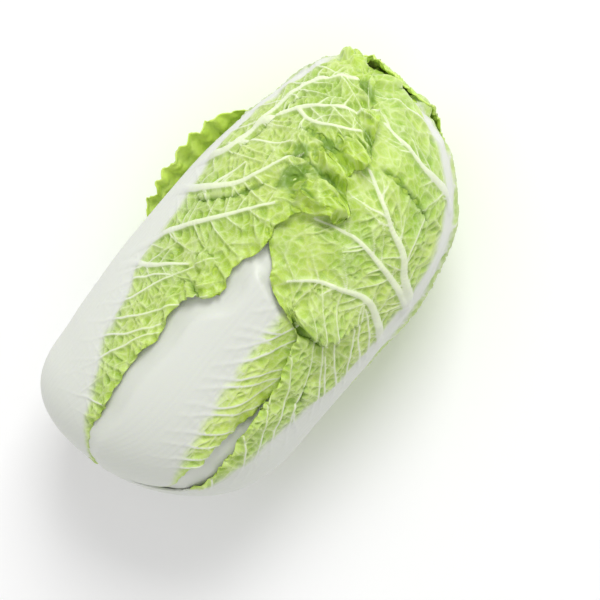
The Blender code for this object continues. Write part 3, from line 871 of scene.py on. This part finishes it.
# Under leaves. The next two leaves in, which show only as a wedge of white rib between the wrappers
# and at the tip.
outer_leaves = [back_leaf, left_leaf, right_leaf, front_leaf]
for name, angle, share, seed in (("right_under_leaf", 52, 0.98, 500), ("left_under_leaf", -128, 0.97, 600)):
    leaf = dict(
        WRAPPER, name=name, middle=math.radians(angle), length=1000 * share * ARC_LENGTH, seed=seed,
        lobes=[(0, 362, 24, 16, 1.6)], thin_veins=[], ruffle=0.6, crumple=1.1, scallop=2.5,
        cells=(180, 60, 60),
    )
    add_leaf(leaf, outer_leaves, front_finish)
    outer_leaves.append(leaf)


# Inner and heart leaves. Paler leaves packed in turn round the core, each a golden turn from the
# last, growing shorter and yellower towards the middle.
INNER_LEAVES = 10
HEART_LEAVES = 4
FIRST_ANGLE = 289
GOLDEN_TURN = 137.5
INNER_FINISHES = {
    "inner_leaf": leaf_finish("inner_leaf", (236, 237, 222), (214, 222, 138), (190, 206, 104),
                              (236, 238, 208), (214, 226, 120)),
    "heart_leaf": leaf_finish("heart_leaf", (240, 237, 210), (238, 214, 96), (222, 190, 60),
                              (246, 236, 180), (240, 220, 90)),
}
packed = list(outer_leaves)
for k in range(INNER_LEAVES + HEART_LEAVES):
    if k < INNER_LEAVES:
        slot = "inner_leaf"
        share = 0.93 - 0.04 * k / 9
    else:
        slot = "heart_leaf"
        share = 0.86 - 0.16 * (k - INNER_LEAVES) / 3
    leaf = dict(
        WRAPPER, name=f"{slot}_{k + 7:02d}", middle=math.radians(FIRST_ANGLE + GOLDEN_TURN * k),
        length=1000 * share * ARC_LENGTH, ruffle=0.3, crumple=0.3, fine=False, seed=700 + 50 * k,
        cells=(90, 30, 30),
    )
    add_leaf(leaf, packed, INNER_FINISHES[slot])
    packed.append(leaf)


# Floor, light and camera: a plain pale surface in a white room with one soft light, seen from above
# with the tip to the upper right.
FLOOR_HALF = 6.0
FLOOR_WHITE = 0.95
ROOM_STRENGTH = 0.72
floor_mesh = bpy.data.meshes.new("floor")
floor_corners = [(-FLOOR_HALF, -FLOOR_HALF, 0), (FLOOR_HALF, -FLOOR_HALF, 0),
                 (FLOOR_HALF, FLOOR_HALF, 0), (-FLOOR_HALF, FLOOR_HALF, 0)]
floor_mesh.from_pydata(floor_corners, [], [(0, 1, 2, 3)])
floor = bpy.data.objects.new("floor", floor_mesh)
bpy.context.scene.collection.objects.link(floor)
floor_finish, _, _, shader = new_finish("pale_floor")
shader.inputs["Base Color"].default_value = (FLOOR_WHITE, FLOOR_WHITE, FLOOR_WHITE, 1.0)
shader.inputs["Roughness"].default_value = 0.9
shader.inputs["Specular IOR Level"].default_value = 0.1
floor_mesh.materials.append(floor_finish)

world = bpy.data.worlds.new("soft_room")
world.use_nodes = True
world.node_tree.nodes["Background"].inputs["Color"].default_value = (1.0, 1.0, 1.0, 1.0)
world.node_tree.nodes["Background"].inputs["Strength"].default_value = ROOM_STRENGTH
bpy.context.scene.world = world
bpy.context.scene.view_settings.view_transform = "Standard"

# The camera looks down at a point in the head from a little to the tip's side, and is rolled so that
# the head lies across the frame. The light's place is given by the camera's own right, up and back.
LOOK_AT = np.array([0.0107, -0.0276, 0.0800])
TILT = math.radians(13)
ROLL = math.radians(46)
DISTANCE = 1.325
LENS = 130
LIGHT_AIM = (0.12, 0.65, 1.0)
LIGHT_DISTANCE = 3.0
LIGHT_SIZE = 1.2
LIGHT_POWER = 52.0
toward = np.array([math.sin(TILT), 0.0, math.cos(TILT)])
up_head = np.array([math.cos(TILT), 0.0, -math.sin(TILT)])
across_head = np.array([0.0, 1.0, 0.0])
right = math.cos(ROLL) * up_head - math.sin(ROLL) * across_head
up = math.sin(ROLL) * up_head + math.cos(ROLL) * across_head

lamp = bpy.data.lights.new("key", "AREA")
lamp.size = LIGHT_SIZE
lamp.energy = LIGHT_POWER
light = bpy.data.objects.new("key", lamp)
aim = right * LIGHT_AIM[0] + up * LIGHT_AIM[1] + toward * LIGHT_AIM[2]
aim /= np.linalg.norm(aim)
light.location = aim * LIGHT_DISTANCE
light.rotation_euler = mathutils.Vector(aim).to_track_quat("Z", "Y").to_euler()
bpy.context.scene.collection.objects.link(light)

camera_data = bpy.data.cameras.new("camera")
camera_data.lens = LENS
camera_data.clip_end = 20
camera = bpy.data.objects.new("camera", camera_data)
turned = mathutils.Matrix([(right[i], up[i], toward[i]) for i in range(3)]).to_4x4()
turned.translation = LOOK_AT + toward * DISTANCE
camera.matrix_world = turned
bpy.context.scene.collection.objects.link(camera)
bpy.context.scene.camera = camera
